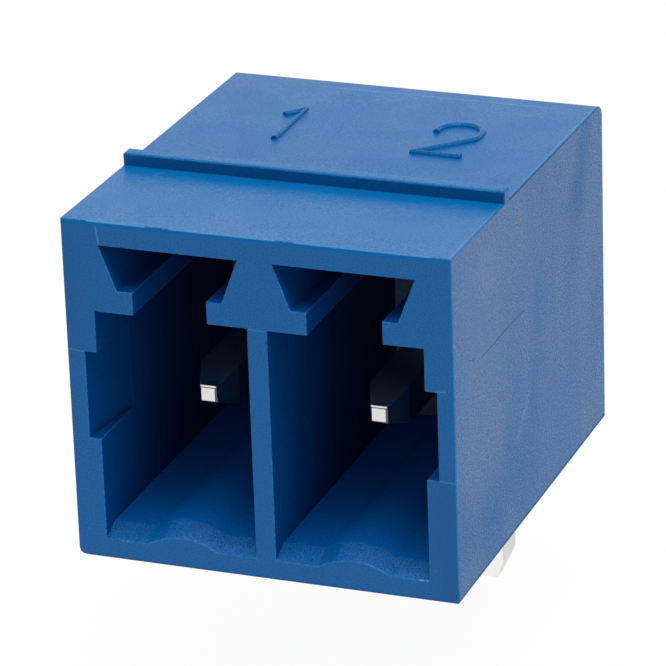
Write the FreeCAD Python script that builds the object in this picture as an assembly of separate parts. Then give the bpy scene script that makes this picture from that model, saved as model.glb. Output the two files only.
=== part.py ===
import FreeCAD, Part
import os

# Right-angle pluggable terminal block header for a circuit board, two poles.
# One moulded housing is open at the front with a pocket for each pole. A bent square contact pin
# stands in each pocket and leaves through the bottom as a solder pin.
# Millimetres. X runs along the poles, Y from the mating face into the housing, Z up from the board.
# The origin lies on the board plane, midway between the outermost solder pins.

Vector = FreeCAD.Vector

# Poles
pole_count = 2
pole_pitch = 5.08

# Housing walls and body
centre_wall = 0.59
outer_wall = 0.86
housing_depth = 13.25
floor_thickness = 0.86
roof_thickness = 0.713
roof_fall = 0.219
back_edge_radius = 0.38

# Pocket, seen from the front: a square room with a dovetail slot above a narrow neck
pocket_height = 6.577
neck_width = 2.17
neck_height = 0.67
ledge_width = 0.45
dovetail_height = 1.291
dovetail_flare = 0.50

# Tapered lead-in notch in each outer wall
notch_sill_height = 2.747
notch_height = 2.596
notch_mouth = 0.354
notch_end = 0.11
notch_run = 2.30

# Pocket floor: an arched ridge along it and a chamfered lip at the mouth
ridge_width = 2.08
ridge_height = 0.30
ridge_offset = 0.04
lip_drop = 0.29
lip_run = 0.64

# Cross rib on the roof
rib_setback = 4.42
rib_thickness = 0.42
rib_height = 0.37
rib_edge_radius = 0.07

# Partition behind the pockets
partition_thickness = 0.72

# Contact pins
pin_side = 1.15
pin_above_floor = 3.37
pin_tip_setback = 2.42
pin_bend_radius = 0.30
pin_fit = 0.01
plug_point_length = 0.94
solder_point_length = 0.77
point_side = 0.51
tip_side = 0.40
tip_chamfer = 0.05
solder_length = 4.87
solder_setback = 1.60

# Room around the bent pins in the rear chambers, which are open at the back and the bottom
room_before_bend = 0.055
room_beside_pin = 1.025
room_above_pin = 1.415
chamber_roof_radius = 0.8

# Worked out from the sizes above
pocket_width = pole_pitch - centre_wall
housing_width = pole_count * pole_pitch - centre_wall + 2 * outer_wall
ceiling_z = floor_thickness + pocket_height
ledge_z = ceiling_z + neck_height
slot_top_z = ledge_z + dovetail_height
front_height = slot_top_z + roof_thickness
back_height = front_height - roof_fall
dovetail_foot_width = neck_width + 2 * ledge_width
dovetail_top_width = dovetail_foot_width + 2 * dovetail_flare
front_y = solder_setback - housing_depth
back_y = solder_setback
chamber_y = -pin_side / 2 - pin_bend_radius - room_before_bend
pocket_depth = chamber_y - partition_thickness - front_y
pin_height = floor_thickness + pin_above_floor
chamber_width = pin_side + 2 * room_beside_pin
chamber_height = pin_height + pin_side / 2 + room_above_pin

# Length by which a cutting solid runs past an open face
overrun = 1.0


def pole_positions():
    """X of each pole, from left to right."""
    first = -(pole_count - 1) * pole_pitch / 2
    return [first + index * pole_pitch for index in range(pole_count)]


def wire_xz(points, y):
    """Closed straight-sided wire in a plane square to Y."""
    corners = [Vector(x, y, z) for x, z in points]
    return Part.makePolygon(corners + corners[:1])


def prism_along_y(points, y_start, y_end):
    """Solid of a front-view outline, pushed from y_start to y_end."""
    return Part.Face(wire_xz(points, y_start)).extrude(Vector(0, y_end - y_start, 0))


def prism_along_x(points, x_start, x_end):
    """Solid of a side-view outline of Y and Z values, pushed from x_start to x_end."""
    corners = [Vector(x_start, y, z) for y, z in points]
    face = Part.Face(Part.makePolygon(corners + corners[:1]))
    return face.extrude(Vector(x_end - x_start, 0, 0))


def roof_z(y):
    """Height of the sloping roof at a place along the depth."""
    return front_height - roof_fall * (y - front_y) / housing_depth


def edges_where(shape, test):
    """Edges whose two ends both pass the test."""
    return [edge for edge in shape.Edges if len(edge.Vertexes) == 2
            and all(test(vertex.Point) for vertex in edge.Vertexes)]


def near(value, target):
    return abs(value - target) < 1e-4


def housing_block():
    """Outer body with its sloping roof, the rounded back edge and the cross rib."""
    half = housing_width / 2
    side = [(front_y, 0), (back_y, 0), (back_y, back_height), (front_y, front_height)]
    block = prism_along_x(side, -half, half)
    back_edge = edges_where(block, lambda p: near(p.y, back_y) and near(p.z, back_height))
    block = block.makeFillet(back_edge_radius, back_edge)

    rib_front = front_y + rib_setback
    rib_back = rib_front + rib_thickness
    rib_top = roof_z(rib_front) + rib_height
    rib_foot = roof_z(rib_back) - roof_thickness / 2
    rib_side = [(rib_front, rib_foot), (rib_back, rib_foot), (rib_back, rib_top), (rib_front, rib_top)]
    rib = prism_along_x(rib_side, -half, half)
    rib = rib.makeFillet(rib_edge_radius, edges_where(rib, lambda p: near(p.z, rib_top)))
    return block.fuse(rib).removeSplitter()


def floor_wire(x_centre, y, foot_z, top_z):
    """Closed outline of a pocket: flat floor with the arched ridge, two walls and a flat top."""
    half = pocket_width / 2
    left = x_centre - half
    right = x_centre + half
    crown = Vector(x_centre + ridge_offset, y, foot_z + ridge_height)
    foot_left = Vector(crown.x - ridge_width / 2, y, foot_z)
    foot_right = Vector(crown.x + ridge_width / 2, y, foot_z)
    corners = [
        foot_right,
        Vector(right, y, foot_z),
        Vector(right, y, top_z),
        Vector(left, y, top_z),
        Vector(left, y, foot_z),
        foot_left,
    ]
    ridge = Part.Arc(foot_left, crown, foot_right).toShape()
    straight = [Part.makeLine(start, end) for start, end in zip(corners, corners[1:])]
    return Part.Wire([ridge] + straight)


def pocket_room(x_centre):
    """Room below the ceiling, with the ridge along its floor and the chamfered lip at its mouth."""
    room_wire = floor_wire(x_centre, front_y, floor_thickness, ceiling_z)
    room = Part.Face(room_wire).extrude(Vector(0, pocket_depth, 0))
    middle_z = (floor_thickness + ceiling_z) / 2
    mouth = floor_wire(x_centre, front_y, floor_thickness - lip_drop, middle_z)
    throat = floor_wire(x_centre, front_y + lip_run, floor_thickness, middle_z)
    lead_in = Part.makeLoft([mouth, throat], True, True)
    return room.fuse(lead_in)


def dovetail_slot(x_centre):
    """Neck in the ceiling of the room and the dovetail slot above it."""
    join_z = ceiling_z - pocket_height / 4
    right = [(neck_width / 2, join_z), (neck_width / 2, ledge_z),
             (dovetail_foot_width / 2, ledge_z), (dovetail_top_width / 2, slot_top_z)]
    left = [(-across, z) for across, z in reversed(right)]
    outline = [(x_centre + across, z) for across, z in right + left]
    return prism_along_y(outline, front_y, front_y + pocket_depth)


def side_notch(x_wall, side):
    """Tapered notch cut outward into an outer wall, widest at the mating face."""
    sill = floor_thickness + notch_sill_height
    plan = [
        (x_wall - side * overrun, front_y),
        (x_wall + side * notch_mouth, front_y),
        (x_wall + side * notch_end, front_y + notch_run),
        (x_wall - side * overrun, front_y + notch_run),
    ]
    corners = [Vector(x, y, sill) for x, y in plan]
    face = Part.Face(Part.makePolygon(corners + corners[:1]))
    return face.extrude(Vector(0, 0, notch_height))


def rear_chamber(x_centre):
    """Chamber around the bend, open at the back and the bottom, with a rounded roof edge."""
    half = chamber_width / 2
    start = chamber_y
    end = back_y + overrun
    side = [(start, -overrun), (end, -overrun), (end, chamber_height), (start, chamber_height)]
    chamber = prism_along_x(side, x_centre - half, x_centre + half)
    roof_edge = edges_where(chamber, lambda p: near(p.y, start) and near(p.z, chamber_height))
    return chamber.makeFillet(chamber_roof_radius, roof_edge)


def pin_bore(x_centre):
    """Square hole through the partition that holds the pin."""
    half = pin_side / 2 + pin_fit
    outline = [(x_centre - half, pin_height - half), (x_centre + half, pin_height - half),
               (x_centre + half, pin_height + half), (x_centre - half, pin_height + half)]
    middle = front_y + pocket_depth - overrun / 2
    return prism_along_y(outline, middle, chamber_y + overrun / 2)


def make_housing():
    """Moulded body less the pockets, slots, notches, chambers and pin holes."""
    places = pole_positions()
    body = housing_block()
    cuts = []
    for x_centre in places:
        cuts.append(pocket_room(x_centre))
        cuts.append(dovetail_slot(x_centre))
        cuts.append(rear_chamber(x_centre))
        cuts.append(pin_bore(x_centre))
    cuts.append(side_notch(places[0] - pocket_width / 2, -1))
    cuts.append(side_notch(places[-1] + pocket_width / 2, 1))
    for cut in cuts:
        body = body.cut(cut)
    return body.removeSplitter()


def square_wire(centre, side, along):
    """Square wire around a centre, in the plane square to the Y or the Z axis."""
    half = side / 2
    corners = []
    for across, up in ((-half, -half), (half, -half), (half, half), (-half, half)):
        offset = Vector(across, 0, up) if along == "y" else Vector(across, up, 0)
        corners.append(centre + offset)
    return Part.makePolygon(corners + corners[:1])


def taper(start, start_side, end, end_side, along):
    """Four-sided taper between two squares on the pin's axis."""
    wires = [square_wire(start, start_side, along), square_wire(end, end_side, along)]
    return Part.makeLoft(wires, True, True)


def make_pin(x_centre):
    """Square wire bent once at a right angle, with a coined point at each end."""
    half = pin_side / 2
    tip_y = front_y + pin_tip_setback
    base_y = tip_y + plug_point_length
    shank_z = solder_point_length - solder_length
    inner = pin_bend_radius
    outer = inner + pin_side
    turn_y = -half - inner
    turn_z = pin_height - half - inner
    diagonal = 0.5 ** 0.5

    def spot(y, z):
        return Vector(x_centre - half, y, z)

    def arc(radius):
        start = spot(turn_y, turn_z + radius)
        middle = spot(turn_y + radius * diagonal, turn_z + radius * diagonal)
        end = spot(turn_y + radius, turn_z)
        return Part.Arc(start, middle, end).toShape()

    outline = Part.Wire([
        Part.makeLine(spot(base_y, pin_height + half), spot(turn_y, pin_height + half)),
        arc(outer),
        Part.makeLine(spot(half, turn_z), spot(half, shank_z)),
        Part.makeLine(spot(half, shank_z), spot(-half, shank_z)),
        Part.makeLine(spot(-half, shank_z), spot(-half, turn_z)),
        arc(inner),
        Part.makeLine(spot(turn_y, pin_height - half), spot(base_y, pin_height - half)),
        Part.makeLine(spot(base_y, pin_height - half), spot(base_y, pin_height + half)),
    ])
    wire_body = Part.Face(outline).extrude(Vector(pin_side, 0, 0))
    base = Vector(x_centre, base_y, pin_height)
    brink = Vector(x_centre, tip_y + tip_chamfer, pin_height)
    tip = Vector(x_centre, tip_y, pin_height)
    plug_point = taper(base, pin_side, brink, point_side, "y").fuse(taper(brink, point_side, tip, tip_side, "y"))
    shank_end = Vector(x_centre, 0, shank_z)
    tail_end = Vector(x_centre, 0, -solder_length)
    solder_point = taper(shank_end, pin_side, tail_end, point_side, "z")
    return wire_body.fuse(plug_point).fuse(solder_point).removeSplitter()


def save(name, shape):
    """Check one node and write it."""
    print(name, "valid", shape.isValid(), "solids", len(shape.Solids), "volume", round(shape.Volume, 3))
    shape.exportStep("parts/" + name + ".step")


os.makedirs("parts", exist_ok=True)
save("housing", make_housing())
for number, position in enumerate(pole_positions(), start=1):
    save("contact_pin_" + str(number), make_pin(position))
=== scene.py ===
# %% [markdown]
# This is the board half of a pluggable terminal block: one blue moulded housing, open at the front
# in two pockets, and two tinned square pins that are bent down into the circuit board. The packed
# model already holds every piece at its real size. This lesson gives the pieces their mould
# finish, their soft edges and their light, and adds the small raised numbers of the mould.

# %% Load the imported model
import math

import bmesh
import bpy
from mathutils import Matrix, Vector


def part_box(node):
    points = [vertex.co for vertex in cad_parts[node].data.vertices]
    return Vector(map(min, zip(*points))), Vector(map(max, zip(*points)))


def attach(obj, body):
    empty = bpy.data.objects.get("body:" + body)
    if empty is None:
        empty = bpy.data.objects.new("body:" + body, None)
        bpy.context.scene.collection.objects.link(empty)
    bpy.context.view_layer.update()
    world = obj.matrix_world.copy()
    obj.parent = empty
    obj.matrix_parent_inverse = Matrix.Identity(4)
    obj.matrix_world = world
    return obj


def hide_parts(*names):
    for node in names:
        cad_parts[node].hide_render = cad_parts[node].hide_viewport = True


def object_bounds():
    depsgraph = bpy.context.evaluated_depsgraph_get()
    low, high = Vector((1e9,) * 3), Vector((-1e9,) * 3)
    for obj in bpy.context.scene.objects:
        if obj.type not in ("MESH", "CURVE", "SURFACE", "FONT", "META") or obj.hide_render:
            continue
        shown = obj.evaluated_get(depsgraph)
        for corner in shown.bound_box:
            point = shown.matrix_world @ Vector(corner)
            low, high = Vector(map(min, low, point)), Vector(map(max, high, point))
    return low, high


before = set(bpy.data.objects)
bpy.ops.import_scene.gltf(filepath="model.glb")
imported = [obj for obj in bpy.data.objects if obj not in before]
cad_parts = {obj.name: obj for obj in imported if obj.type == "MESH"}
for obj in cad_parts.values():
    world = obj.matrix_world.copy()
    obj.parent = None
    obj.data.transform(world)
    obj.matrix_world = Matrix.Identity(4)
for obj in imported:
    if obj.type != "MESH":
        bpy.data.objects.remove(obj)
cad_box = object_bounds()
scene = bpy.context.scene
print("nodes", sorted(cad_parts))

# %% [markdown]
# Blender works in metres, and this object is about a centimetre across, so most sizes are written
# in millimetres and multiplied by MM. The places of walls and pins could be typed in, but they are
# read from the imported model, so that the finish follows the model when a size changes.

# %% Places read from the model
MM = 0.001
shell_low, shell_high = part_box("housing")
front_y = shell_low.y
back_y = shell_high.y
side_x = shell_high.x
pin_names = sorted(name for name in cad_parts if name.startswith("contact_pin"))
pole_x = [(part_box(name)[0].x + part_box(name)[1].x) / 2 for name in pin_names]
print("housing", [round(v / MM, 3) for v in shell_high - shell_low])
print("poles at", [round(x / MM, 3) for x in pole_x])

# %% [markdown]
# The photograph was taken from the front right, a little above, with a long lens. The viewing
# angles were worked out from the housing's straight edges. A long lens far away keeps parallel
# edges nearly parallel, so the lens and the distance have to be right together.

# %% Camera
CAMERA_AZIMUTH = math.radians(21.339)
CAMERA_ELEVATION = math.radians(22.643)
CAMERA_ROLL = math.radians(-2.013)
CAMERA_DISTANCE = 127.927 * MM
CAMERA_AIM = Vector((-0.277, -5.267, 4.756)) * MM
CAMERA_LENS = 242.559
CAMERA_SENSOR = 36.0
CAMERA_CLIP = (1 * MM, 10.0)


def camera_matrix():
    """Place of the camera: it looks at the aim point, rolled about its own line of sight."""
    towards_camera = Vector((
        math.sin(CAMERA_AZIMUTH) * math.cos(CAMERA_ELEVATION),
        -math.cos(CAMERA_AZIMUTH) * math.cos(CAMERA_ELEVATION),
        math.sin(CAMERA_ELEVATION),
    ))
    right = Vector((0, 0, 1)).cross(towards_camera).normalized()
    up = towards_camera.cross(right)
    level = Matrix((right, up, towards_camera)).transposed().to_4x4()
    place = Matrix.Translation(CAMERA_AIM + towards_camera * CAMERA_DISTANCE)
    return place @ level @ Matrix.Rotation(CAMERA_ROLL, 4, "Z")


camera_data = bpy.data.cameras.new("camera")
camera_data.lens = CAMERA_LENS
camera_data.sensor_width = CAMERA_SENSOR
camera_data.clip_start, camera_data.clip_end = CAMERA_CLIP
camera = bpy.data.objects.new("camera", camera_data)
camera.matrix_world = camera_matrix()
scene.collection.objects.link(camera)
scene.camera = camera
print("camera at", [round(v / MM, 1) for v in camera.location])

# %% [markdown]
# Each material is a node tree. The trees could be wired node by node, but a few small helpers keep
# the material cells short: each makes one node, gives it numbers or joins it to sockets, and
# returns the socket that holds its result.


# %% Helpers for node trees
def feed(tree, socket, value):
    """Join a socket to another socket, or set it to a plain value."""
    if isinstance(value, bpy.types.NodeSocket):
        tree.links.new(value, socket)
    else:
        socket.default_value = value


def math_node(tree, operation, *values):
    """Math node on sockets or numbers."""
    node = tree.nodes.new("ShaderNodeMath")
    node.operation = operation
    for socket, value in zip(node.inputs, values):
        feed(tree, socket, value)
    return node.outputs[0]


def vector_node(tree, operation, first, second):
    """Vector math node. Products and distances come back as a number, the rest as a vector."""
    node = tree.nodes.new("ShaderNodeVectorMath")
    node.operation = operation
    feed(tree, node.inputs[0], first)
    feed(tree, node.inputs["Scale"] if operation == "SCALE" else node.inputs[1], second)
    return node.outputs["Value" if operation in ("DOT_PRODUCT", "DISTANCE") else "Vector"]


def ramp(tree, value, start, end, low=0.0, high=1.0):
    """Smooth change from low to high while the value goes from start to end."""
    node = tree.nodes.new("ShaderNodeMapRange")
    node.interpolation_type = "SMOOTHSTEP"
    for name, number in (("Value", value), ("From Min", start), ("From Max", end),
                         ("To Min", low), ("To Max", high)):
        feed(tree, node.inputs[name], number)
    return node.outputs["Result"]


def mix_colours(tree, factor, low, high):
    """Colour between low and high by a mask."""
    node = tree.nodes.new("ShaderNodeMix")
    node.data_type = "RGBA"
    feed(tree, node.inputs["Factor"], factor)
    colours = [socket for socket in node.inputs if socket.type == "RGBA"]
    feed(tree, colours[0], low)
    feed(tree, colours[1], high)
    return next(socket for socket in node.outputs if socket.type == "RGBA")


def noise(tree, place, scale, detail, rough):
    """Noise value between 0 and 1 at a place."""
    node = tree.nodes.new("ShaderNodeTexNoise")
    feed(tree, node.inputs["Vector"], place)
    feed(tree, node.inputs["Scale"], scale)
    node.inputs["Detail"].default_value = detail
    node.inputs["Roughness"].default_value = rough
    return node.outputs[0]


def object_axes(tree):
    """X, Y and Z of the shaded point in Object coordinates, which are real metres here."""
    place = tree.nodes.new("ShaderNodeTexCoord")
    split = tree.nodes.new("ShaderNodeSeparateXYZ")
    tree.links.new(place.outputs["Object"], split.inputs[0])
    return split.outputs


def new_material(name):
    """Fresh material, its node tree and its Principled shader."""
    material = bpy.data.materials.new(name)
    material.use_nodes = True
    return material, material.node_tree, material.node_tree.nodes["Principled BSDF"]


print("node helpers ready")

# %% [markdown]
# Effects that several materials use are node groups. A group has named inputs, reads the Object
# coordinates and gives a mask or a height, so one change in it reaches every material.


# %% Helpers for groups
def new_group(name, inputs, outputs):
    """Shader node group with named inputs (name, type, default) and outputs (name)."""
    group = bpy.data.node_groups.new(name, "ShaderNodeTree")
    for socket_name, socket_type, default in inputs:
        socket = group.interface.new_socket(
            socket_name, in_out="INPUT", socket_type="NodeSocket" + socket_type)
        socket.default_value = default
    for socket_name in outputs:
        group.interface.new_socket(socket_name, in_out="OUTPUT", socket_type="NodeSocketFloat")
    entry = group.nodes.new("NodeGroupInput")
    leave = group.nodes.new("NodeGroupOutput")
    place = group.nodes.new("ShaderNodeTexCoord").outputs["Object"]
    return group, entry.outputs, leave.inputs, place


def use_group(tree, group, **values):
    """One use of a group in a material, with its own values."""
    node = tree.nodes.new("ShaderNodeGroup")
    node.node_tree = group
    for key, value in values.items():
        feed(tree, node.inputs[key.replace("_", " ")], value)
    return node.outputs


print("group helpers ready")

# %% [markdown]
# The mould was spark-eroded, which leaves an even grain on every outer face. A picture of grain
# would stretch and repeat, so two noises of different size are added together instead. The group
# gives a height for the bump and a speckle for the colour, because light that is caught between
# the grains changes the colour too.

# %% Group: spark-eroded grain
COARSE_GRAIN_SCALE = 0.3
SPECKLE_RANGE = (0.3, 0.7)


def build_grain():
    group, given, result, place = new_group(
        "spark_grain",
        [("Grain Size", "Float", 0.050 * MM), ("Coarse Share", "Float", 0.5)],
        ["Height", "Speckle"],
    )
    scale = math_node(group, "DIVIDE", 1.0, given["Grain Size"])
    fine = noise(group, place, scale, detail=1.0, rough=0.6)
    coarse_scale = math_node(group, "MULTIPLY", scale, COARSE_GRAIN_SCALE)
    coarse = noise(group, place, coarse_scale, detail=2.0, rough=0.55)
    height = math_node(group, "MULTIPLY_ADD", coarse, given["Coarse Share"], fine)
    group.links.new(height, result["Height"])
    group.links.new(ramp(group, fine, *SPECKLE_RANGE), result["Speckle"])
    return group


grain_group = build_grain()
print("group", grain_group.name)

# %% [markdown]
# Plastic shrinks as it cools, so flat walls show cloudy changes of colour and sheen. Painted spots
# would end somewhere, so one slow noise, stretched along one axis, gives both.

# %% Group: flow clouds
CLOUD_RANGE = (0.3, 0.7)


def build_clouds():
    group, given, result, place = new_group(
        "flow_clouds",
        [("Cloud Size", "Float", 2.2 * MM), ("Stretch", "Vector", (1.0, 1.0, 0.45))],
        ["Cloud"],
    )
    stretched = vector_node(group, "MULTIPLY", place, given["Stretch"])
    scale = math_node(group, "DIVIDE", 1.0, given["Cloud Size"])
    cloud = noise(group, stretched, scale, detail=3.0, rough=0.5)
    group.links.new(ramp(group, cloud, *CLOUD_RANGE), result["Cloud"])
    return group


clouds_group = build_clouds()
print("group", clouds_group.name)

# %% [markdown]
# Mould parts meet in fine lines, and every housing that leaves the machine carries a few
# scratches. Thin bodies would be heavy for marks this shallow, so each is a straight stroke in the
# material: the group measures how far a place lies from the line between two points, and the mask
# falls to nothing at the stroke's half width. A very wide stroke makes a soft wave in the sheen.


# %% Group: straight stroke
def build_stroke():
    group, given, result, place = new_group(
        "straight_stroke",
        [("From", "Vector", (0.0, 0.0, 0.0)), ("To", "Vector", (0.0, 0.0, MM)),
         ("Half Width", "Float", 0.03 * MM)],
        ["Mask"],
    )
    run = vector_node(group, "SUBTRACT", given["To"], given["From"])
    offset = vector_node(group, "SUBTRACT", place, given["From"])
    share = math_node(group, "DIVIDE", vector_node(group, "DOT_PRODUCT", offset, run),
                      vector_node(group, "DOT_PRODUCT", run, run))
    share = math_node(group, "MINIMUM", math_node(group, "MAXIMUM", share, 0.0), 1.0)
    distance = vector_node(group, "DISTANCE", offset, vector_node(group, "SCALE", run, share))
    group.links.new(ramp(group, distance, 0.0, given["Half Width"], 1.0, 0.0), result["Mask"])
    return group


stroke_group = build_stroke()
print("group", stroke_group.name)

# %% [markdown]
# A finish is gathered in a small dictionary, its skin: the sockets of its colour, its bump height,
# its roughness and its sheen, which is the specular level. Strokes are laid over the skin one by
# one.


# %% Strokes on a skin
def stroke(start, end, half_width, mark=None, strength=0.0, rise=0.0, dullness=0.0, taken=0.0):
    """One stroke. Its ends, half width and rise are in millimetres.

    Mark is its colour and strength how much of it shows. Dullness is added to the roughness, and
    taken is the share of the sheen that it takes away.
    """
    return {"start": start, "end": end, "half_width": half_width, "mark": mark,
            "strength": strength, "rise": rise, "dullness": dullness, "taken": taken}


def on_front(start, end, half_width, *marks, **more_marks):
    """Stroke on the mating face. Its ends are given as (x, z), the rest as for any stroke."""
    y = front_y / MM
    return stroke((start[0], y, start[1]), (end[0], y, end[1]), half_width, *marks, **more_marks)


def on_side(start, end, half_width, *marks, **more_marks):
    """Stroke on the right side. Its ends are given as (y, z), the rest as for any stroke."""
    x = side_x / MM
    return stroke((x, *start), (x, *end), half_width, *marks, **more_marks)


def lay_strokes(tree, skin, strokes):
    """Lay the strokes over the skin."""
    for each in strokes:
        mask = use_group(tree, stroke_group, From=Vector(each["start"]) * MM,
                         To=Vector(each["end"]) * MM, Half_Width=each["half_width"] * MM)["Mask"]
        if each["strength"]:
            cover = math_node(tree, "MULTIPLY", mask, each["strength"])
            skin["colour"] = mix_colours(tree, cover, skin["colour"], each["mark"])
        if each["rise"]:
            rise = each["rise"] * MM
            skin["height"] = math_node(tree, "MULTIPLY_ADD", mask, rise, skin["height"])
        if each["dullness"]:
            skin["rough"] = math_node(tree, "MULTIPLY_ADD", mask, each["dullness"], skin["rough"])
        if each["taken"]:
            left = ramp(tree, mask, 0.0, 1.0, 1.0, 1.0 - each["taken"])
            skin["sheen"] = math_node(tree, "MULTIPLY", skin["sheen"], left)


def wire_skin(tree, shader, skin, bump_distance):
    """Join the skin's colour, roughness and bump height to the shader."""
    tree.links.new(skin["colour"], shader.inputs["Base Color"])
    tree.links.new(skin["rough"], shader.inputs["Roughness"])
    bump = tree.nodes.new("ShaderNodeBump")
    bump.inputs["Distance"].default_value = bump_distance
    tree.links.new(skin["height"], bump.inputs["Height"])
    tree.links.new(bump.outputs["Normal"], shader.inputs["Normal"])


print("stroke helpers ready")

# %% [markdown]
# All finishes of the blue plastic share one recipe, so one function builds them and only the
# numbers differ. The colour swings with the grain and with the clouds. The sheen swings with the
# grain as well, because the tops of the grain reflect white light. It could be painted into the
# colour instead, but pale speckles on this blue turned it purplish. This has a price: the export
# puts out a level of sheen that comes from nodes as its mean, so the swing is seen in the render
# and not in the exported model.

# %% Recipe for the blue plastic
PLASTIC_BLUE = (0.0, 0.098, 0.310, 1.0)
PLASTIC_IOR = 1.5
CLOUD_BRIGHTNESS = 1.6
ROUGHNESS_SWING = 0.04


def shade(colour, share):
    """The colour made lighter or darker by a share."""
    return tuple(value * share for value in colour[:3]) + (1.0,)


def plastic(name, base, grain_size, grain_depth, speckle, clouds, roughness, level,
            coarse=0.5, glint=0.25, strokes=(), depth_light_and_shade=None):
    """Moulded blue plastic with the colour base.

    Grain size and depth are in millimetres, and coarse is the share of the coarse noise in it.
    Speckle and clouds are the shares by which the grain and the clouds change the colour. Level is
    the middle of the sheen's range, and glint the share by which the grain moves it up and down.
    The last argument is (start, end, share): between these millimetres behind the front, the colour
    goes over to that share of base. It paints shade where the share is below one and light where it
    is above one.
    """
    material, tree, shader = new_material(name)
    grain = use_group(tree, grain_group, Grain_Size=grain_size * MM, Coarse_Share=coarse)
    cloud = use_group(tree, clouds_group)["Cloud"]
    dark, light = shade(base, 1 - speckle), shade(base, 1 + speckle)
    colour = mix_colours(tree, grain["Speckle"], dark, light)
    cover = math_node(tree, "MULTIPLY", cloud, clouds)
    skin = {
        "colour": mix_colours(tree, cover, colour, shade(base, CLOUD_BRIGHTNESS)),
        "height": math_node(tree, "MULTIPLY", grain["Height"], grain_depth * MM),
        "rough": ramp(tree, cloud, 0.0, 1.0,
                      roughness - ROUGHNESS_SWING, roughness + ROUGHNESS_SWING),
        "sheen": ramp(tree, grain["Speckle"], 0.0, 1.0, level * (1 - glint), level * (1 + glint)),
    }
    lay_strokes(tree, skin, strokes)
    if depth_light_and_shade:
        start, end, share = depth_light_and_shade
        depth = ramp(tree, object_axes(tree)["Y"], front_y + start * MM, front_y + end * MM)
        skin["colour"] = mix_colours(tree, depth, skin["colour"], shade(base, share))
    wire_skin(tree, shader, skin, bump_distance=1.0)
    tree.links.new(skin["sheen"], shader.inputs["Specular IOR Level"])
    shader.inputs["IOR"].default_value = PLASTIC_IOR
    return material


print("plastic recipe ready")

# %% [markdown]
# The front is the mating face. Fine pale lines run out from the corners of the slots and notches,
# where mould parts met. A band below the top edge is bluer and has less sheen than the rest. The
# upper left and the lower right are a little dimmer, which is painted shade, and a dark line along
# the bottom edge is painted shade as well. Separate materials would meet in hard borders, so all of
# these are strokes that fade out.

# %% Front
PALE_MARK = (0.060, 0.250, 0.520, 1.0)
# Painted shade: a dark blue laid into creases and along edges.
PAINTED_SHADE_MARK = (0.001, 0.035, 0.120, 1.0)
TOP_BAND_BLUE = (0.0, 0.125, 0.380, 1.0)
FRONT_PAINTED_SHADE_BLUE = (0.0, 0.082, 0.262, 1.0)
MOULD_LINES = [
    ((-4.625, 10.13), (-4.540, 9.38), 0.030, 0.7, 0.004),
    ((-5.608, 6.25), (-5.172, 6.20), 0.026, 0.7, 0.004),
    ((-0.291, 7.426), (0.319, 7.423), 0.024, 0.5, 0.003),
    ((5.071, 6.22), (5.384, 6.267), 0.028, 0.8, 0.004),
    ((5.148, 3.612), (5.633, 3.586), 0.028, 0.9, 0.004),
    ((4.980, 0.915), (4.988, 0.935), 0.030, 1.0, 0.004),
]
front_strokes = [on_front(start, end, half_width, PALE_MARK, strength, rise)
                 for start, end, half_width, strength, rise in MOULD_LINES]
front_strokes += [
    # Painted shade: a dark line along the bottom edge of the front.
    on_front((-5.45, 0.025), (5.645, 0.025), 0.055, PAINTED_SHADE_MARK, 0.45),
    # A bluer band with less sheen just below the top edge.
    on_front((-5.60, 10.09), (5.60, 10.09), 0.200, TOP_BAND_BLUE, 0.9, taken=0.8),
    # Painted shade: two very wide strokes dim the lower right and the upper left.
    on_front((5.40, 0.50), (5.40, 3.00), 1.200, FRONT_PAINTED_SHADE_BLUE, 0.8),
    on_front((-5.40, 6.80), (-5.40, 9.30), 1.200, FRONT_PAINTED_SHADE_BLUE, 0.5),
]
front_skin = plastic("blue_front_skin", PLASTIC_BLUE, grain_size=0.050, grain_depth=0.006,
                     speckle=0.13, clouds=0.05, roughness=0.34, level=0.21, glint=0.15,
                     strokes=front_strokes)
print("finish", front_skin.name, "strokes", len(front_strokes))

# %% [markdown]
# The right side is seen at a low angle and looks milky. A thin crease crosses its upper half, and
# broad waves run over it, where the plastic shrank. The crease is a shallow groove, and its dark
# colour is painted shade; a dark line along the bottom edge is painted shade too. The milky look is
# sheen and not colour, so the waves are wide strokes without a colour: they change the roughness,
# and two of them also the height.

# %% Right side
SIDE_BLUE = (0.0, 0.108, 0.322, 1.0)
CREASE = [(-9.510, 6.403), (-8.666, 6.393), (-7.093, 6.404), (-5.781, 6.331)]
CREASE_MARKS = [(0.038, 0.70, -0.012), (0.048, 0.90, -0.022), (0.040, 0.60, -0.016)]
CREASE_DULLNESS = 0.1
SIDE_WAVES = [
    ((-4.550, 6.250), (-4.850, 3.100), 0.80, 0.006, 0.07),
    ((-5.320, 3.710), (-6.440, 2.740), 0.25, -0.004, -0.07),
    ((-0.050, 9.600), (-0.750, 8.000), 1.10, 0.0, 0.10),
    ((-0.750, 8.000), (-1.300, 6.200), 1.20, 0.0, 0.07),
    ((-9.700, 8.200), (-9.700, 4.600), 3.20, 0.0, -0.09),
    ((-10.000, 9.300), (-6.200, 8.900), 2.00, 0.0, -0.06),
    ((-11.000, 1.600), (-6.000, 1.600), 2.20, 0.0, 0.08),
]
# Painted shade darkens the crease, which is also a shallow groove.
side_strokes = [on_side(start, end, half_width, PAINTED_SHADE_MARK, strength, rise, CREASE_DULLNESS)
                for start, end, (half_width, strength, rise)
                in zip(CREASE, CREASE[1:], CREASE_MARKS)]
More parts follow.
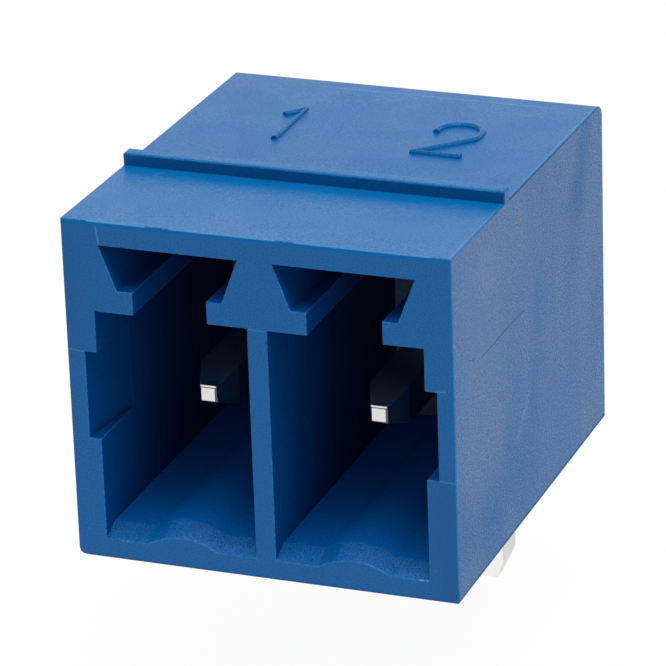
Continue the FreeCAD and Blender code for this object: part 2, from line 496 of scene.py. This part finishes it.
# Painted shade: a dark line along the bottom of the side.
side_strokes.append(on_side((-11.600, 0.090), (1.500, 0.090), 0.060, PAINTED_SHADE_MARK, 0.60, dullness=0.2))
side_strokes += [on_side(start, end, half_width, rise=rise, dullness=dullness)
                 for start, end, half_width, rise, dullness in SIDE_WAVES]
side_skin = plastic("blue_side_skin", SIDE_BLUE, grain_size=0.050, grain_depth=0.030,
                    speckle=0.35, clouds=0.15, roughness=0.32, level=0.19, coarse=0.3, glint=0.6,
                    strokes=side_strokes)
print("finish", side_skin.name, "strokes", len(side_strokes))

# %% [markdown]
# The roof is smoother than the side. Behind the rib it is a little darker, which is painted shade,
# and has less sheen, so that part has a finish of its own, made from the same numbers. Two short
# scratches lie before the rib, and a fine line runs along the right edge. A faint line with a
# slight rise runs before the rounded back edge, and its pale colour is a painted highlight. The
# rib's front is darker, which is painted shade, and has a shallower grain.

# %% Roof and rib
ROOF_BLUE = (0.0, 0.112, 0.322, 1.0)
# Painted shade: a darker blue for the roof behind the rib.
REAR_PAINTED_SHADE_BLUE = (0.0, 0.102, 0.305, 1.0)
# Painted shade: the rib's front is darker than the front's blue.
RIB_PAINTED_SHADE = 0.82
roof_strokes = [
    stroke((-4.50, -7.75, 10.05), (-4.33, -7.45, 10.05), 0.025, PALE_MARK, 0.8, 0.004),
    stroke((4.30, -7.85, 10.05), (4.45, -7.60, 10.05), 0.025, PALE_MARK, 0.6, 0.004),
    # Painted highlight: the pale line before the rounded back edge.
    stroke((-2.60, 0.74, 9.91), (4.50, 0.74, 9.91), 0.070, PALE_MARK, 0.45, 0.007),
    stroke((5.560, -11.65, 10.11), (5.560, 1.20, 9.90), 0.045, PALE_MARK, 0.35, 0.004),
]
ROOF_RECIPE = {"grain_size": 0.045, "grain_depth": 0.006, "speckle": 0.18, "clouds": 0.0,
               "roughness": 0.29, "coarse": 0.0, "glint": 0.4, "strokes": roof_strokes}
roof_skin = plastic("blue_roof_skin", ROOF_BLUE, level=0.215, **ROOF_RECIPE)
roof_rear = plastic("blue_roof_rear", REAR_PAINTED_SHADE_BLUE, level=0.14, **ROOF_RECIPE)
rib_front = plastic("blue_rib_front", shade(PLASTIC_BLUE, RIB_PAINTED_SHADE), grain_size=0.050,
                    grain_depth=0.003, speckle=0.08, clouds=0.02, roughness=0.34, level=0.13)
print("finishes", [material.name for material in (roof_skin, roof_rear, rib_front)])

# %% [markdown]
# The pocket walls were formed by polished cores, so they are smoother than the skin, and little
# light finds its way out again from the far end. The light alone could be left to show this, but
# painted shade and light come closer to the real part. The walls get a darker blue than the skin
# and grow darker towards the far end. The floor gets a lighter blue than the walls and grows
# lighter towards the far end. The sloping end of each notch is darker. The back wall, which faces
# the mouth, is a paler and greyer blue that paints its reflection of the light.

# %% Pockets
# Painted shade: the pockets' blue is darker than the skin's.
INNER_BLUE = (0.0, 0.060, 0.232, 1.0)
# Painted reflection: the back wall facing the mouth is paler and greyer.
BACK_WALL_PAINTED_REFLECTION = (0.10, 0.155, 0.26, 1.0)
# Painted light: the pocket floor is lighter than the walls.
FLOOR_SHADE = 1.5
# Painted shade: the sloping end of each notch is darker.
NOTCH_END_SHADE = 0.55
CORE_RECIPE = {"grain_size": 0.080, "grain_depth": 0.002, "clouds": 0.05, "roughness": 0.45}
pocket_wall = plastic("blue_smooth_pocket", INNER_BLUE, speckle=0.06, level=0.10,
                      depth_light_and_shade=(0.5, 6.0, 0.55), **CORE_RECIPE)
pocket_floor = plastic("blue_pocket_floor", shade(INNER_BLUE, FLOOR_SHADE), speckle=0.08,
                       level=0.10, depth_light_and_shade=(2.0, 9.0, 1.5), **CORE_RECIPE)
pocket_back = plastic("blue_back_painted_reflection", BACK_WALL_PAINTED_REFLECTION, speckle=0.10, level=0.10, **CORE_RECIPE)
notch_end = plastic("blue_notch_end", shade(INNER_BLUE, NOTCH_END_SHADE), speckle=0.06, level=0.05,
                    **CORE_RECIPE)
print("finishes", [m.name for m in (pocket_wall, pocket_floor, pocket_back, notch_end)])

# %% [markdown]
# The chamfer at the pocket mouths is speckled more strongly than any other face, except for one
# smooth flank of the ridge, whose slightly darker blue is painted shade. All rounded edges share
# one finish, which is the simplest way to reach the narrow faces that the rounding makes. Its paler
# blue is a painted highlight. Strokes on it paint highlights on the front edges, with two brighter
# glints low on the front, and paint shade on the upper and lower edges of the right side.

# %% Lip and edges
LIP_BLUE = (0.006, 0.110, 0.355, 1.0)
# Painted shade: the smooth flank's blue is a little darker than the lip's.
SMOOTH_LIP_BLUE = (0.0, 0.094, 0.332, 1.0)
# Painted highlight: the rounded edges' blue is paler than the front's.
EDGE_HIGHLIGHT_BLUE = (0.002, 0.108, 0.320, 1.0)
# Painted glints: two bright points low on the front.
PAINTED_GLINT_MARK = (0.350, 0.600, 0.850, 1.0)
# Painted highlights on the front edges, painted shade on the right side's upper and lower edges.
edge_light_and_shade_strokes = [
    on_side((-7.20, 10.04), (1.40, 9.90), 0.080, PAINTED_SHADE_MARK, 0.6, dullness=0.2),
    on_front((-5.10, 0.60), (5.10, 0.60), 0.500, PALE_MARK, 0.10),
    on_front((4.520, 0.575), (4.600, 0.578), 0.050, PAINTED_GLINT_MARK, 0.5),
    on_front((4.710, 0.582), (4.740, 0.583), 0.050, PAINTED_GLINT_MARK, 0.5),
    on_front((5.645, 0.40), (5.645, 10.11), 0.080, PALE_MARK, 0.55),
    on_side((-11.40, 0.0), (1.50, 0.0), 0.150, PAINTED_SHADE_MARK, 0.60, dullness=0.2),
    on_front((-4.80, 10.11), (-3.20, 10.11), 0.100, PALE_MARK, 0.9, dullness=-0.1),
    on_front((-2.40, 10.11), (0.60, 10.11), 0.100, PALE_MARK, 0.8, dullness=-0.1),
    on_front((1.20, 10.11), (5.00, 10.11), 0.100, PALE_MARK, 0.7, dullness=-0.1),
]
lip_face = plastic("blue_coarse_lip", LIP_BLUE, grain_size=0.038, grain_depth=0.010, speckle=0.40,
                   clouds=0.05, roughness=0.50, level=0.20, coarse=0.1, glint=0.35)
lip_smooth = plastic("blue_smooth_lip", SMOOTH_LIP_BLUE, grain_size=0.060, grain_depth=0.003,
                     speckle=0.10, clouds=0.05, roughness=0.45, level=0.20)
edge_painted_light_and_shade = plastic("blue_burnished_edge", EDGE_HIGHLIGHT_BLUE, grain_size=0.120, grain_depth=0.004,
                         speckle=0.30, clouds=0.30, roughness=0.40, level=0.20,
                         strokes=edge_light_and_shade_strokes)
print("finishes", [material.name for material in (lip_face, lip_smooth, edge_painted_light_and_shade)])

# %% [markdown]
# The imported housing is a shell of loose triangles with knife-sharp edges. No moulded edge is that
# sharp: each has a tiny radius that catches a line of light. The triangles could not be rounded as
# they are, so a copy is merged into clean faces, every outward edge gets a weight, and a Bevel
# modifier turns the weights into radii. The copy stands for the imported node, which stays hidden
# in the scene.

# %% Clean copies with rounded edges
MERGE_DISTANCE = 0.0005 * MM
FLAT_ANGLE = math.radians(0.3)
CREASE_ANGLE = math.radians(28)
BEVEL_SEGMENTS = 3


def clean_copy(node_name, piece_name):
    """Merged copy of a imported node, with its flat faces joined and its faces shaded smooth."""
    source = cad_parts[node_name]
    mesh = bpy.data.meshes.new(piece_name)
    bm = bmesh.new()
    bm.from_mesh(source.data)
    bmesh.ops.remove_doubles(bm, verts=bm.verts, dist=MERGE_DISTANCE)
    bmesh.ops.dissolve_limit(bm, angle_limit=FLAT_ANGLE, verts=bm.verts, edges=bm.edges)
    for face in bm.faces:
        face.smooth = True
    bm.to_mesh(mesh)
    bm.free()
    piece = bpy.data.objects.new(piece_name, mesh)
    scene.collection.objects.link(piece)
    return piece


def weigh_edges(piece, weight_of):
    """Give each outward crease the bevel weight that weight_of returns for it."""
    bm = bmesh.new()
    bm.from_mesh(piece.data)
    layer = bm.edges.layers.float.new("bevel_weight_edge")
    count = 0
    for edge in bm.edges:
        if not edge.is_manifold:
            continue
        edge.smooth = edge.calc_face_angle() < CREASE_ANGLE
        if not edge.smooth and edge.is_convex:
            edge[layer] = weight_of(edge)
            count += 1
    bm.to_mesh(piece.data)
    bm.free()
    return count


def round_edges(piece, radius, edge_material=-1):
    """Bevel by weight, with shading normals kept flat on the faces beside each rounded edge."""
    bevel = piece.modifiers.new("mould_radius", "BEVEL")
    bevel.limit_method = "WEIGHT"
    bevel.width = radius
    bevel.segments = BEVEL_SEGMENTS
    bevel.material = edge_material
    bevel.harden_normals = True
    bevel.use_clamp_overlap = True


print("copy helpers ready")

# %% [markdown]
# The housing's edges are not all alike. The bottom left edge has the largest radius. A common
# bevel stops growing where its shortest edge is used up, so this one edge is rounded first, on its
# own. The bottom right edge is a little rounder than the rest. The far edge of each notch and the
# bottom front edge stay sharp.

# %% Housing: rounded copy
ROUND_EDGE_RADIUS = 0.16 * MM
ROUND_EDGE_SEGMENTS = 4
EDGE_RADIUS = 0.20 * MM
BOTTOM_RIGHT_SHARE = 0.25
COMMON_SHARE = 0.15
OUTER_WALL_X = 4.5 * MM
NOTCH_END = (2.0 * MM, 2.7 * MM)


def lies_on(edge, axis, value):
    """Whether both ends of an edge lie on the plane where this axis has this value."""
    index = "xyz".index(axis)
    return all(abs(vertex.co[index] - value) < 2 * MERGE_DISTANCE for vertex in edge.verts)


def at_notch_end(place):
    """Whether a place is in an outer wall, at the far end of its lead-in notch."""
    return abs(place.x) > OUTER_WALL_X and NOTCH_END[0] < place.y - front_y < NOTCH_END[1]


def housing_weight(edge):
    """Share of the edge radius that an edge gets."""
    if all(at_notch_end(vertex.co) for vertex in edge.verts):
        return 0.0
    if lies_on(edge, "z", shell_low.z):
        if lies_on(edge, "y", front_y):
            return 0.0
        if lies_on(edge, "x", side_x):
            return BOTTOM_RIGHT_SHARE
    return COMMON_SHARE


def cut_round_edge(piece):
    """Round the bottom left edge."""
    bm = bmesh.new()
    bm.from_mesh(piece.data)
    edges = [edge for edge in bm.edges
             if lies_on(edge, "z", shell_low.z) and lies_on(edge, "x", -side_x)]
    bmesh.ops.bevel(bm, geom=edges, offset=ROUND_EDGE_RADIUS, offset_type="OFFSET",
                    segments=ROUND_EDGE_SEGMENTS, profile=0.5, affect="EDGES", clamp_overlap=False)
    for face in bm.faces:
        face.smooth = True
    bm.to_mesh(piece.data)
    bm.free()
    return len(edges)


housing = clean_copy("housing", "housing_moulding")
print("round edges", cut_round_edge(housing))
edge_count = weigh_edges(housing, housing_weight)
print("housing faces", len(housing.data.polygons), "outward edges", edge_count)

# %% [markdown]
# Next each face of the housing gets the finish that its place in the mould gives it. The lip is
# the sloping strip just inside each pocket mouth, and all that doesn't lie on the outline of the
# block belongs to the pockets and the rear chambers. The faces could be picked by hand, but a rule
# on their centre and direction still holds when the model is packed anew.

# %% Housing: finishes by face
OUTSIDE_TOLERANCE = 0.02 * MM
ROOF_LIMIT = shell_high.z - 1.2 * MM
RIB_LIMIT = 10.02 * MM
REAR_LIMIT = front_y + 6.0 * MM
LIP_LIMIT = front_y + 0.75 * MM
FLOOR_LIMIT = shell_low.z + 1.5 * MM
BACK_LIMIT = front_y + 5.0 * MM
SMOOTH_FLANK = (-1.10 * MM, -0.40 * MM)
LEANING = 0.2
STRAIGHT = 0.9
FINISHES = [front_skin, side_skin, roof_skin, roof_rear, rib_front, pocket_wall, pocket_floor,
            pocket_back, notch_end, lip_face, lip_smooth, edge_painted_light_and_shade]


def outside_finish(centre):
    """Finish of a face on the flat outside of the block, or None for any other face."""
    if abs(abs(centre.x) - side_x) < OUTSIDE_TOLERANCE:
        return side_skin
    planes = (centre.y - front_y, centre.y - back_y, centre.z - shell_low.z)
    if any(abs(distance) < OUTSIDE_TOLERANCE for distance in planes):
        return front_skin
    return None


def roof_finish(centre, normal):
    """Finish of a face of the roof or its rib, or None for any other face."""
    if centre.z > ROOF_LIMIT and normal.z > LEANING:
        return roof_rear if centre.y > REAR_LIMIT else roof_skin
    if centre.z > RIB_LIMIT and normal.y < -STRAIGHT:
        return rib_front
    if centre.z > RIB_LIMIT and normal.y > STRAIGHT:
        return roof_rear
    return None


def inside_finish(centre, normal):
    """Finish of a face in a pocket, a notch or a rear chamber."""
    if at_notch_end(centre) and normal.y < -LEANING:
        return notch_end
    if centre.y < LIP_LIMIT and normal.z > LEANING and normal.y < -LEANING:
        offset = min((centre.x - x for x in pole_x), key=abs)
        return lip_smooth if SMOOTH_FLANK[0] < offset < SMOOTH_FLANK[1] else lip_face
    if centre.z < FLOOR_LIMIT and normal.z > LEANING:
        return pocket_floor
    if centre.y > BACK_LIMIT and normal.y < -STRAIGHT:
        return pocket_back
    return pocket_wall


for material in FINISHES:
    housing.data.materials.append(material)
for face in housing.data.polygons:
    finish = (outside_finish(face.center) or roof_finish(face.center, face.normal)
              or inside_finish(face.center, face.normal))
    face.material_index = FINISHES.index(finish)
round_edges(housing, EDGE_RADIUS, FINISHES.index(edge_painted_light_and_shade))
faces_by_finish = [0] * len(FINISHES)
for face in housing.data.polygons:
    faces_by_finish[face.material_index] += 1
print("faces by finish", faces_by_finish)
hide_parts("housing")
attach(housing, "root")

# %% [markdown]
# The roof behind the rib carries one raised number for each pole. A font would bring its own
# letter shapes, so a number starts as a plain polyline in a box one unit high. Each corner has its
# own radius, so that a 2 gets a round head and a sharp foot.

# %% Pole numbers: lines
NUMBER_HEIGHT = 2.6 * MM
NUMBER_WIDTH = 1.45 * MM
NUMBER_Y = -2.7 * MM
DIGITS = [
    [(0.30, 0.78, 0.0), (0.62, 1.0, 0.0), (0.62, 0.0, 0.0)],
    [(0.05, 0.70, 0.0), (0.05, 1.0, 0.24), (0.95, 1.0, 0.24), (0.95, 0.58, 0.18), (0.0, 0.0, 0.0),
     (1.0, 0.0, 0.0)],
]


def digit_lines():
    """Flat mesh of the polylines, with the corner radii in an attribute."""
    points, radii, lines = [], [], []
    for x, digit in zip(pole_x, DIGITS):
        first = len(points)
        for across, up, radius in digit:
            points.append((x + (across - 0.5) * NUMBER_WIDTH, (up - 0.5) * NUMBER_HEIGHT, 0.0))
            radii.append(radius * NUMBER_HEIGHT)
        lines += [(index, index + 1) for index in range(first, len(points) - 1)]
    mesh = bpy.data.meshes.new("digit_lines")
    mesh.from_pydata(points, lines, [])
    attribute = mesh.attributes.new("corner_radius", "FLOAT", "POINT")
    attribute.data.foreach_set("value", radii)
    return mesh


lines_mesh = digit_lines()
print("digit corners", len(lines_mesh.vertices))

# %% [markdown]
# A Geometry Nodes tree turns the lines into raised strokes: the lines become a curve, its corners
# are rounded by their own radius, and an oval is drawn along it. The oval is half sunk into the
# roof. The tree was chosen over modelled strokes because the width and the rise stay two numbers.

# %% Pole numbers: tree
STROKE_WIDTH = 0.20 * MM
STROKE_RISE = 0.11 * MM
CORNER_POINTS = 8
OVAL_POINTS = 16


def build_stroke_tree():
    tree = bpy.data.node_groups.new("raised_strokes", "GeometryNodeTree")
    tree.interface.new_socket("Lines", in_out="INPUT", socket_type="NodeSocketGeometry")
    for name, default in (("Stroke Width", STROKE_WIDTH), ("Stroke Rise", STROKE_RISE)):
        socket = tree.interface.new_socket(name, in_out="INPUT", socket_type="NodeSocketFloat")
        socket.default_value = default
    tree.interface.new_socket("Strokes", in_out="OUTPUT", socket_type="NodeSocketGeometry")
    make, link = tree.nodes.new, tree.links.new
    given, result = make("NodeGroupInput").outputs, make("NodeGroupOutput").inputs

    curve = make("GeometryNodeMeshToCurve")
    link(given["Lines"], curve.inputs["Mesh"])
    radius = make("GeometryNodeInputNamedAttribute")
    radius.data_type = "FLOAT"
    radius.inputs["Name"].default_value = "corner_radius"
    fillet = make("GeometryNodeFilletCurve")
    fillet.mode = "POLY"
    fillet.inputs["Count"].default_value = CORNER_POINTS
    fillet.inputs["Limit Radius"].default_value = True
    link(curve.outputs["Curve"], fillet.inputs["Curve"])
    link(radius.outputs[0], fillet.inputs["Radius"])
    upright = make("GeometryNodeSetCurveNormal")
    upright.mode = "Z_UP"
    link(fillet.outputs["Curve"], upright.inputs["Curve"])

    circle = make("GeometryNodeCurvePrimitiveCircle")
    circle.inputs["Resolution"].default_value = OVAL_POINTS
    circle.inputs["Radius"].default_value = 1.0
    half_width = make("ShaderNodeMath")
    half_width.operation = "MULTIPLY"
    half_width.inputs[1].default_value = 0.5
    link(given["Stroke Width"], half_width.inputs[0])
    oval_size = make("ShaderNodeCombineXYZ")
    link(half_width.outputs[0], oval_size.inputs["X"])
    link(given["Stroke Rise"], oval_size.inputs["Y"])
    oval = make("GeometryNodeTransform")
    link(circle.outputs["Curve"], oval.inputs["Geometry"])
    link(oval_size.outputs[0], oval.inputs["Scale"])

    sweep = make("GeometryNodeCurveToMesh")
    sweep.inputs["Fill Caps"].default_value = True
    link(upright.outputs["Curve"], sweep.inputs["Curve"])
    link(oval.outputs["Geometry"], sweep.inputs["Profile Curve"])
    real = make("GeometryNodeRealizeInstances")
    link(sweep.outputs["Mesh"], real.inputs["Geometry"])
    paint = make("GeometryNodeSetMaterial")
    paint.inputs["Material"].default_value = roof_rear
    link(real.outputs["Geometry"], paint.inputs["Geometry"])
    link(paint.outputs["Geometry"], result["Strokes"])
    return tree


stroke_tree = build_stroke_tree()
print("tree", stroke_tree.name, "nodes", len(stroke_tree.nodes))

# %% [markdown]
# The tree runs on a carrier object. Its evaluated result becomes a plain mesh, and only then is it
# laid onto the roof, which falls a little towards the back.

# %% Pole numbers: piece
ROOF_FRONT_Z = 10.111 * MM
ROOF_FALL = 0.219 * MM
ROOF_LENGTH = 13.25 * MM


def set_input(modifier, name, value):
    """Set a modifier input by the identifier of the socket with this name."""
    for item in modifier.node_group.interface.items_tree:
        if item.name == name:
            modifier[item.identifier] = value


carrier = bpy.data.objects.new("digit_carrier", lines_mesh)
scene.collection.objects.link(carrier)
modifier = carrier.modifiers.new("raised_strokes", "NODES")
modifier.node_group = stroke_tree
set_input(modifier, "Stroke Width", STROKE_WIDTH)
set_input(modifier, "Stroke Rise", STROKE_RISE)
evaluated = carrier.evaluated_get(bpy.context.evaluated_depsgraph_get())
number_mesh = bpy.data.meshes.new_from_object(evaluated)
bpy.data.objects.remove(carrier)
roof_slope = math.atan(ROOF_FALL / ROOF_LENGTH)
roof_z = ROOF_FRONT_Z - math.tan(roof_slope) * (NUMBER_Y - front_y)
on_roof = Matrix.Translation((0, NUMBER_Y, roof_z)) @ Matrix.Rotation(-roof_slope, 4, "X")
number_mesh.transform(on_roof)
for face in number_mesh.polygons:
    face.use_smooth = True
numbers = bpy.data.objects.new("pole_numbers", number_mesh)
scene.collection.objects.link(numbers)
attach(numbers, "root")
number_top = max(vertex.co.z for vertex in number_mesh.vertices)
print("number faces", len(number_mesh.polygons), "top", round(number_top / MM, 3))

# %% [markdown]
# The pins are square copper-alloy wire, cut, coined to a blunt point at both ends and then plated
# with bright tin. The plating is soft, so its sheen changes slowly along the wire. Below the board
# line the tin is brighter, which is painted light on the solder tails. One finish could serve all
# faces, but the right faces that reach below the board lie in shade, so they get a darker tone of
# the same recipe.

# %% Tin plating
TIN_COLOUR = (0.74, 0.73, 0.71, 1.0)
# Painted light: the brighter tin of the solder tails below the board.
TIN_PAINTED_LIGHT = (0.93, 0.92, 0.90, 1.0)
TIN_DARK = (0.05, 0.05, 0.05, 1.0)
TIN_SPECKLE = 0.06
TIN_ROUGHNESS = (0.22, 0.30)
TIN_GRAIN_SIZE = 0.06 * MM
TIN_CLOUD_SIZE = 1.6 * MM
TIN_BUMP = 0.0002 * MM
SIDE_TONE = 0.70
TIP_HALF = 0.20
TIP_SETBACK = 2.48 * MM
TAPER_RUN = 0.3 * MM
TAPER_DULLNESS = 0.06
PIN_HALF = 0.575


def tip_lines():
    """A dark line along the top edge of each blunt tip's flat face."""
    lines = []
    for name, x in zip(pin_names, pole_x):
        low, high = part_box(name)
        x, y, z = x / MM, low.y / MM, high.z / MM - PIN_HALF + TIP_HALF
        lines.append(stroke((x - TIP_HALF, y, z), (x + TIP_HALF, y, z), 0.028, TIN_DARK, 1.0))
    return lines


def tin_plating(name, tone):
    """Bright tin. Tone is the share of its full brightness."""
    material, tree, shader = new_material(name)
    grain = use_group(tree, grain_group, Grain_Size=TIN_GRAIN_SIZE)
    cloud = use_group(tree, clouds_group, Cloud_Size=TIN_CLOUD_SIZE)["Cloud"]
    axes = object_axes(tree)
    dark, light = shade(TIN_COLOUR, tone), shade(TIN_COLOUR, tone * (1 + TIN_SPECKLE))
    colour = mix_colours(tree, grain["Speckle"], dark, light)
    below_board = ramp(tree, axes["Z"], 1.0 * MM, -1.0 * MM)
    behind_tip = ramp(tree, axes["Y"], front_y + TIP_SETBACK, front_y + TIP_SETBACK + TAPER_RUN)
    above_board = ramp(tree, axes["Z"], 0.0, 1.0 * MM)
    taper = math_node(tree, "MULTIPLY", behind_tip, above_board)
    rough = ramp(tree, cloud, 0.0, 1.0, *TIN_ROUGHNESS)
    skin = {
        "colour": mix_colours(tree, below_board, colour, shade(TIN_PAINTED_LIGHT, tone)),
        "height": grain["Height"],
        "rough": math_node(tree, "MULTIPLY_ADD", taper, TAPER_DULLNESS, rough),
    }
    lay_strokes(tree, skin, tip_lines())
    wire_skin(tree, shader, skin, TIN_BUMP)
    shader.inputs["Metallic"].default_value = 1.0
    return material


tin = tin_plating("bright_tin", 1.0)
side_tin = tin_plating("shaded_tin", SIDE_TONE)
print("materials", tin.name, side_tin.name)

# %% [markdown]
# A plated edge is never sharp either, so each pin gets the same treatment as the housing: a merged
# copy, weights on its outward edges and a fine bevel. The narrow chamfer around the plug tip keeps
# its own shape, and only its top side is turned a little more to the front, so that it mirrors the
# light.

# %% Pins
PIN_EDGE_RADIUS = 0.035 * MM
TIP_CHAMFER_LIMIT = 0.08 * MM
TIP_CHAMFER = 0.05 * MM
TIP_STEEP_SHARE = 0.55


def pin_weight(tip_y):
    """Weight function for the edges of a pin whose tip lies at tip_y."""
    limit = tip_y + TIP_CHAMFER_LIMIT
    return lambda edge: 0.0 if all(vertex.co.y < limit for vertex in edge.verts) else 1.0


def steepen_tip(pin, tip_y, tip_z):
    """Move the back of the tip's top chamfer forward."""
    for vertex in pin.data.vertices:
        if vertex.co.z > tip_z and TIP_CHAMFER / 2 < vertex.co.y - tip_y < TIP_CHAMFER * 1.5:
            vertex.co.y = tip_y + TIP_CHAMFER * TIP_STEEP_SHARE


def in_shade(pin, face):
    """Whether a face looks right and reaches below the board."""
    foot = min(pin.data.vertices[index].co.z for index in face.vertices)
    return face.normal.x > 0.5 and foot < shell_low.z


for name in pin_names:
    low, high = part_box(name)
    pin = clean_copy(name, name + "_plated")
    steepen_tip(pin, low.y, high.z - PIN_HALF * MM)
    weigh_edges(pin, pin_weight(low.y))
    round_edges(pin, PIN_EDGE_RADIUS)
    pin.data.materials.append(tin)
    pin.data.materials.append(side_tin)
    for face in pin.data.polygons:
        face.material_index = int(in_shade(pin, face))
    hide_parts(name)
    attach(pin, "root")
    print(pin.name, "faces", len(pin.data.polygons))

# %% [markdown]
# The object stands in a white photo sweep. The floor lies just under the solder pins. To the
# camera it is almost evenly white, and only a share of it is real shaded floor, which keeps a
# faint shadow.

# %% Floor
FLOOR_GAP = 0.02 * MM
FLOOR_SIZE = 600 * MM
FLOOR_SHADE_SHARE = 0.04
PAPER_WHITE = (0.9, 0.9, 0.9, 1.0)
PAPER_ROUGHNESS = 0.9


def seen_directly(tree):
    """1 for rays from the lens and for mirrored or refracted rays, 0 for scattered light."""
    rays = tree.nodes.new("ShaderNodeLightPath").outputs
    seen = math_node(tree, "MAXIMUM", rays["Is Camera Ray"], rays["Is Glossy Ray"])
    return math_node(tree, "MAXIMUM", seen, rays["Is Transmission Ray"])


def white_sweep():
    """Paper that glows white wherever it is seen directly."""
    material, tree, shader = new_material("white_sweep")
    shader.inputs["Base Color"].default_value = PAPER_WHITE
    shader.inputs["Roughness"].default_value = PAPER_ROUGHNESS
    glow = tree.nodes.new("ShaderNodeEmission")
    glow.inputs["Strength"].default_value = 1.0
    blend = tree.nodes.new("ShaderNodeMixShader")
    share = math_node(tree, "MULTIPLY", seen_directly(tree), 1.0 - FLOOR_SHADE_SHARE)
    tree.links.new(share, blend.inputs[0])
    tree.links.new(shader.outputs[0], blend.inputs[1])
    tree.links.new(glow.outputs[0], blend.inputs[2])
    tree.links.new(blend.outputs[0], tree.nodes["Material Output"].inputs["Surface"])
    return material


floor_mesh = bpy.data.meshes.new("floor")
half_floor = FLOOR_SIZE / 2
floor_z = cad_box[0][2] - FLOOR_GAP
floor_corners = [(x * half_floor, y * half_floor, floor_z)
                 for x, y in ((-1, -1), (1, -1), (1, 1), (-1, 1))]
floor_mesh.from_pydata(floor_corners, [], [(0, 1, 2, 3)])
floor_mesh.materials.append(white_sweep())
floor = bpy.data.objects.new("floor", floor_mesh)
scene.collection.objects.link(floor)
print("floor at", round(floor_z / MM, 2), "mm")

# %% [markdown]
# Product shots of small parts are lit by a large soft box overhead. It lifts the roof above the
# front. A pale world gives the even rest, and its reflection gives the roof and the side their
# milky sheen, because light that strikes a grained wall at a low angle comes back white. More
# lamps could be added, but this one and the world came close to the photograph.

# %% Light
WORLD_STRENGTH = 0.55
WORLD_WHITE = (1.0, 1.0, 1.0, 1.0)
BOX_PLACE = Vector((24, -26, 165)) * MM
BOX_AIM = Vector((0, -5, 5)) * MM
BOX_SIZE = 120 * MM
BOX_POWER = 0.25


def world_light():
    """White world. It lights the object less strongly than it shows in the picture."""
    world = bpy.data.worlds.new("studio")
    world.use_nodes = True
    tree = world.node_tree
    background = tree.nodes["Background"]
    strength = ramp(tree, seen_directly(tree), 0.0, 1.0, WORLD_STRENGTH, 1.0)
    tree.links.new(strength, background.inputs["Strength"])
    background.inputs["Color"].default_value = WORLD_WHITE
    return world


scene.world = world_light()
lamp = bpy.data.lights.new("box_overhead", "AREA")
lamp.shape = "RECTANGLE"
lamp.size = lamp.size_y = BOX_SIZE
lamp.energy = BOX_POWER
soft_box = bpy.data.objects.new("box_overhead", lamp)
box_turn = (BOX_AIM - BOX_PLACE).to_track_quat("-Z", "Y").to_matrix().to_4x4()
soft_box.matrix_world = Matrix.Translation(BOX_PLACE) @ box_turn
scene.collection.objects.link(soft_box)

# %% [markdown]
# The Standard view shows colours as they are, where a film look would wash out the blue.

# %% Picture settings
scene.view_settings.view_transform = "Standard"
print("view", scene.view_settings.view_transform)
